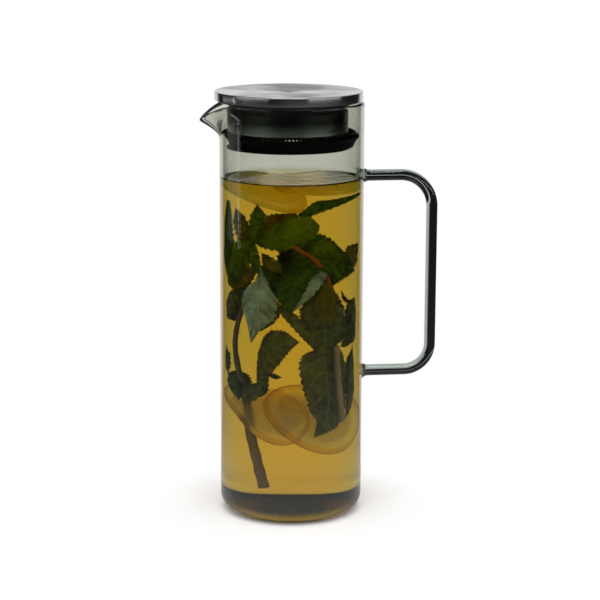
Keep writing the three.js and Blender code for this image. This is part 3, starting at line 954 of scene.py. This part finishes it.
def smooth_line(points, share):
    """The place at a share of the way along a smooth line through all the points."""
    spots = [Vector(p) for p in points]
    ends = [2 * spots[0] - spots[1], *spots, 2 * spots[-1] - spots[-2]]
    step = min(int(share * (len(spots) - 1)), len(spots) - 2)
    t = share * (len(spots) - 1) - step
    a, b, c, d = ends[step:step + 4]
    return 0.5 * (2 * b + (c - a) * t + (2 * a - 5 * b + 4 * c - d) * t * t + (3 * b - a - 3 * c + d) * t**3)


def make_leaf(name, material, depth, left, right):
    """A mint leaf between two edges that both run from its base to its tip, each point an (x, z).

    A grid is drawn out between the edges, saw-edged, its sides bent back, and given a little thickness.
    """
    right = (left[0], *right, left[-1])
    long_way = sum((Vector(a) - Vector(b)).length for a, b in zip(left, left[1:]))
    teeth = max(5, round(long_way / LEAF_TOOTH))
    leaf = start_piece(
        name, bpy.ops.mesh.primitive_grid_add, x_subdivisions=4 * teeth, y_subdivisions=14, size=2)
    for vertex in leaf.data.vertices:
        along = (vertex.co.x + 1) / 2
        across = vertex.co.y
        one = smooth_line(left, along)
        other = smooth_line(right, along)
        half = (other - one) / 2
        wide = half.length + 0.01
        saw = (along * teeth) % 1.0
        notch = min(0.35, LEAF_NOTCH / wide) * (1 - saw) * abs(across) ** 5
        spot = (one + other) / 2 + half * across * (1 - notch)
        back = depth[0] + (depth[1] - depth[0]) * along + LEAF_CURL * across**2 * wide
        back += LEAF_RIPPLE * wide * math.sin(23 * along - 5 * abs(across)) * min(1, 3 * abs(across))
        back += LEAF_SWAY * wide * math.sin(5 * along + 2.2 * across + long_way)
        vertex.co = Vector((spot.x, back, spot.y)) * MM
    against_wall(leaf)
    edit_all()
    end_edit(merge=10 * TOUCHING)
    thicken(leaf, LEAF_THICKNESS)
    into_jug(leaf)
    bpy.ops.object.shade_smooth()
    dress(leaf, material)
    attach(leaf, "jug")


def make_stem(name, points, thick_start, thick_end, material):
    """A stem: a ring drawn out from point to point along a smooth line."""
    stem = start_piece(name, bpy.ops.mesh.primitive_circle_add, vertices=10, radius=1, fill_type="NGON")
    rings = 8 * (len(points) - 1)
    line = [smooth_line(points, i / rings) for i in range(rings + 1)]
    edit_all()
    for i in range(rings):
        bpy.ops.mesh.extrude_region_move(TRANSFORM_OT_translate={"value": (0, 0, 1)})
    bpy.ops.object.mode_set(mode="OBJECT")
    for vertex in stem.data.vertices:
        ring = round(vertex.co.z)
        along = (line[min(ring + 1, rings)] - line[max(ring - 1, 0)]).normalized()
        radius = (thick_start + (thick_end - thick_start) * ring / rings) / 2
        radius *= 1 + 0.06 * math.sin(ring * 1.3)
        turn = along.to_track_quat("Z", "Y")
        vertex.co = (line[ring] + turn @ Vector((vertex.co.x * radius, vertex.co.y * radius, 0))) * MM
    edit_all()
    end_edit()
    into_jug(stem)
    smooth_by(50)
    dress(stem, material)
    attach(stem, "jug")


def make_slice(name, centre, facing, radius, thickness, turn, material, warp):
    """A round slice of lemon, laid with its face to a direction and warped like a saddle."""
    half = thickness / 2
    outline = [(0, -half), *straight((radius * 0.15, -half), (radius - 2, -half), 6), (radius - 1.2, -half),
               (radius - 0.4, -half * 0.8), (radius, -half * 0.3), (radius, half * 0.3),
               (radius - 0.4, half * 0.8), (radius - 1.2, half),
               *straight((radius - 2, half), (radius * 0.15, half), 6), (0, half)]
    piece = turned(name, outline, steps=72, smooth=40)
    uv = piece.data.uv_layers.new(name=SLICE_UV)
    uv.active_render = True
    for loop in piece.data.loops:
        spot = piece.data.vertices[loop.vertex_index].co / MM
        uv.data[loop.index].uv = (0.5 + 0.5 * spot.x / radius, 0.5 + 0.5 * spot.y / radius)
    for vertex in piece.data.vertices:
        x, y = vertex.co.x / MM, vertex.co.y / MM
        vertex.co.z += warp * (x * x - y * y) / radius**2 * MM
    stand = Vector(facing).to_track_quat("Z", "Y").to_matrix().to_4x4()
    spin = Matrix.Rotation(math.radians(turn), 4, "Z")
    piece.data.transform(Matrix.Translation(Vector(centre) * MM) @ stand @ spin)
    against_wall(piece)
    into_jug(piece)
    dress(piece, material)
    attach(piece, "jug")


# How the mint looks: blade, veins, the colour of the light that comes through, and how much of it does
MINT = {
    "deep": ((0.065, 0.130, 0.006), (0.13, 0.21, 0.012), (0.07, 0.15, 0.004), 0.25),
    "fresh": ((0.150, 0.225, 0.006), (0.28, 0.36, 0.02), (0.24, 0.32, 0.005), 0.4),
    "olive": ((0.220, 0.200, 0.010), (0.36, 0.33, 0.02), (0.34, 0.29, 0.008), 0.45),
    "underside": ((0.40, 0.49, 0.33), (0.50, 0.58, 0.40), (0.25, 0.32, 0.10), 0.12),
    "steeped": ((0.140, 0.155, 0.050), (0.24, 0.26, 0.09), (0.15, 0.16, 0.02), 0.25),
}

# The leaves, from the back: name, look, depth at base and tip, and the left and the right edge
LEAVES = (
    ("back_mid", "deep", (-12, -8), ((-8, 161), (-9, 173), (-5, 182), (5, 184)),
     ((5, 161), (15, 173), (13, 182))),
    ("back_left", "olive", (-20, -24), ((-24, 184), (-32, 187), (-36, 198), (-34, 209)),
     ((-21, 192), (-26, 203))),
    ("back_top", "olive", (-16, -22), ((-22, 185), (-18, 199), (-12, 205), (3, 206)), ((-13, 184), (3, 195))),
    ("wall_left", "deep", (-18, -20), ((-39, 161), (-51, 172), (-52, 192), (-46, 211), (-38, 213)),
     ((-32, 173), (-33, 193), (-35, 207))),
    ("narrow", "deep", (-6, -32), ((41, 217), (33, 215.5), (21, 214), (13, 214), (6, 208), (1, 204)),
     ((40, 214.5), (30, 210), (17, 205), (7, 202))),
    ("left_side", "fresh", (-30, -18), ((-22, 188), (-33, 189), (-42, 175), (-45, 163), (-35, 154)),
     ((-22, 179), (-24, 165), (-29, 157))),
    ("left_olive", "olive", (-27, -24), ((-19, 175), (-31, 165), (-40, 152)), ((-21, 163), (-28, 153))),
    ("up", "fresh", (-31, -34), ((-23, 187), (-27, 194), (-26, 205), (-21, 213)),
     ((-19, 191), (-15, 197), (-14, 205))),
    ("right", "deep", (-27, -17), ((-4, 168), (3, 181), (15, 193), (26, 185), (33, 177), (39, 166)),
     ((7, 160), (21, 156), (32, 161))),
    ("right_top", "fresh", (-24, -20), ((0, 179), (8, 190), (16, 192), (26, 184), (31, 175)),
     ((7, 177), (21, 174))),
    ("right_olive", "olive", (-18, -12), ((30, 176), (31, 183), (40, 184)), ((38, 167), (41, 176))),
    ("right_bit", "olive", (-16, -14), ((28, 154), (29, 146), (37, 141)), ((33, 147), (38, 146))),
    ("big", "fresh", (-35, -33), ((-23, 188), (-14, 197), (-1, 205), (10, 206), (17, 199)),
     ((-17, 183), (-4, 181), (9, 187), (16, 192))),
    ("curl", "fresh", (-37, -38), ((-23, 188), (-28, 181), (-26, 171), (-20, 167)), ((-20, 184), (-18, 175))),
    ("fringe", "olive", (-33, -34), ((-18, 181), (-17, 171), (-5, 167)), ((-13, 180), (-6, 175))),
    ("left_wing", "steeped", (-27, -16), ((-27, 157), (-39, 154), (-47, 146), (-44, 136), (-33, 132)),
     ((-27, 146), (-29, 135))),
    ("dark_mid", "deep", (-26, -28), ((-19, 172), (-15, 159), (-10, 149), (0, 141)),
     ((-5, 172), (5, 163), (6, 150))),
    ("sage", "underside", (-38, -34),
     ((-19, 173), (-23, 164), (-33, 153), (-33, 144), (-28, 132), (-25, 121)),
     ((-13, 161), (-7, 149), (-9, 138), (-19, 128))),
    ("sage_side", "steeped", (-34, -31), ((-16, 148), (-18, 140), (-19, 129), (-17, 131)),
     ((-5, 144), (-9, 135))),
    ("lower_left", "steeped", (-30, -33), ((-12, 149), (-7, 140), (5, 125), (17, 113)),
     ((-2, 145), (11, 133), (23, 119))),
    ("lower", "steeped", (-29, -34), ((19, 163), (6, 148), (4, 135), (9, 123), (17, 113)),
     ((31, 150), (36, 134), (33, 122))),
    ("lower_olive", "olive", (-32, -35), ((20, 163), (13, 151), (14, 142), (20, 134)),
     ((27, 156), (29, 145), (27, 136))),
    ("down", "deep", (-35, -37), ((10, 170), (-1, 170), (-9, 163), (-10, 155), (-6, 146), (0, 142)),
     ((23, 171), (15, 162), (7, 149))),
    ("pale_strip", "underside", (-36, -38), ((18, 170), (11, 165), (6, 153), (0, 142)),
     ((23, 167), (18, 158), (9, 149))),
    ("right_pale", "steeped", (-18, -20), ((39, 149), (31, 143), (29, 121), (29, 116)),
     ((42, 142), (44, 123), (34, 116))),
    ("low_blade", "steeped", (-28, -31), ((-19, 87), (-21, 103), (-18, 121), (-13, 129), (-4, 130), (5, 122)),
     ((-13, 95), (-6, 106))),
    ("sprig", "deep", (-24, -25), ((-13, 98), (-10, 100), (-5, 97)), ((-9, 95),)),
    ("wall_low", "deep", (-20, -18), ((-42, 96), (-52, 101), (-51, 110), (-45, 116)),
     ((-36, 100), (-36, 110))),
    ("knot_a", "deep", (-22, -28), ((-35, 100), (-47, 96), (-50, 89), (-33, 81)), ((-24, 98), (-22, 88))),
    ("knot_b", "steeped", (-29, -31), ((-28, 93), (-32, 86), (-28, 80)), ((-16, 93), (-19, 83))),
    ("knot_c", "deep", (-26, -28), ((-14, 103), (-21, 95), (-22, 85), (-18, 84)), ((-12, 95), (-13, 87))),
    ("low_dark", "steeped", (-31, -34),
     ((23, 121), (8, 114), (4, 106), (7, 87), (11, 74), (15, 69), (14, 58)),
     ((34, 113), (40, 91), (37, 71), (25, 61))),
    ("low_right", "steeped", (-21, -24), ((40, 118), (31, 104), (32, 84), (34, 68)), ((45, 103), (46, 82))),
)


def make_mint():
    materials = {look: leaf_material("mint_" + look, *values) for look, values in MINT.items()}
    for name, look, depth, left, right in LEAVES:
        make_leaf("contents_mint_" + name, materials[look], depth, left, right)


def make_stems():
    brown = stem_material("stem_brown", (0.10, 0.075, 0.035), (0.22, 0.17, 0.09))
    red = stem_material("stem_red", (0.22, 0.05, 0.010), (0.36, 0.13, 0.03))
    tan = stem_material("stem_tan", (0.26, 0.19, 0.08), (0.48, 0.36, 0.18))
    left = ((-26, -26, 152), (-33, -27, 133.5), (-35, -25, 117.5), (-31.9, -25, 99.5), (-27.0, -21, 87.6),
            (-23.5, -8, 70.7), (-22.1, -10, 56.0), (-18.6, -14, 37.1), (-14.7, -14, 19.2))
    right = ((-4, -25, 188), (3.9, -32, 183.5), (15.6, -31, 174.5), (24.3, -30, 157), (28.2, -27, 140.5),
             (29.6, -26, 121))
    make_stem("contents_stem_left", left, 3.6, 6.6, brown)
    make_stem("contents_stem_red", right, 2.2, 3.8, red)
    make_stem("contents_stem_tan", ((27.9, -31, 119), (29.5, -31, 96), (32, -28.5, 68)), 5.0, 6.0, tan)


def make_lemons():
    # painted light: the slices at the top get a brighter, yellower copy of the lemon, standing in for light
    # from above
    top = lemon_material("lemon_at_the_top_painted_lit", (0.79, 0.72, 0.15), (0.95, 0.88, 0.37), (1.0, 0.95, 0.53),
                         (0.97, 0.83, 0.13), 0.75, 0.6)
    low = lemon_material("lemon_in_tea", (0.60, 0.55, 0.40), (0.97, 0.92, 0.65), (1.0, 0.97, 0.60),
                         (0.72, 0.51, 0.05), 0.65, 0.85)
    make_slice("contents_lemon_top_left", (-17, -6, 217), (0.28, -0.2, 0.94), 26, 4.5, 20, top, 1.5)
    make_slice("contents_lemon_top_right", (17, 6, 220.2), (-0.02, -0.05, 1), 26, 4, 50, top, 0.6)
    make_slice("contents_lemon_left", (-15.6, -12, 69.6), (0.39, -0.43, 0.81), 27, 5, 10, low, 2.0)
    make_slice("contents_lemon_right", (12.5, -14, 66), (0.43, -0.465, 0.77), 30, 5.5, 40, low, 1.5)


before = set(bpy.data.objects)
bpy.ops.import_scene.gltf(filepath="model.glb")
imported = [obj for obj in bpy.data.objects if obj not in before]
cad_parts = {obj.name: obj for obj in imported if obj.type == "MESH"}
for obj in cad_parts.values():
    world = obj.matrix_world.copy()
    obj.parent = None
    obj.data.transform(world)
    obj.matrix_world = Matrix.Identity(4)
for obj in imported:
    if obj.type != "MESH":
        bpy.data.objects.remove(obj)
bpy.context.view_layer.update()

scene = bpy.context.scene
scene.view_settings.view_transform = "Standard"
scene.cycles.max_bounces = 24
scene.cycles.transmission_bounces = 24
scene.cycles.glossy_bounces = 24
scene.cycles.blur_glossy = 0.0

set_camera()
set_world()
add_lamps()
add_floor()

make_jug()
make_handle()
make_tea()
make_mint()
make_stems()
make_lemons()
black_plastic = moulded_material("black_plastic", (0.010, 0.011, 0.010), 0.4, 1500.0, 0.08)
make_cap()
make_bond_pad()
make_lid_body(black_plastic)
make_sleeve()
make_carrier(black_plastic)
make_seal()
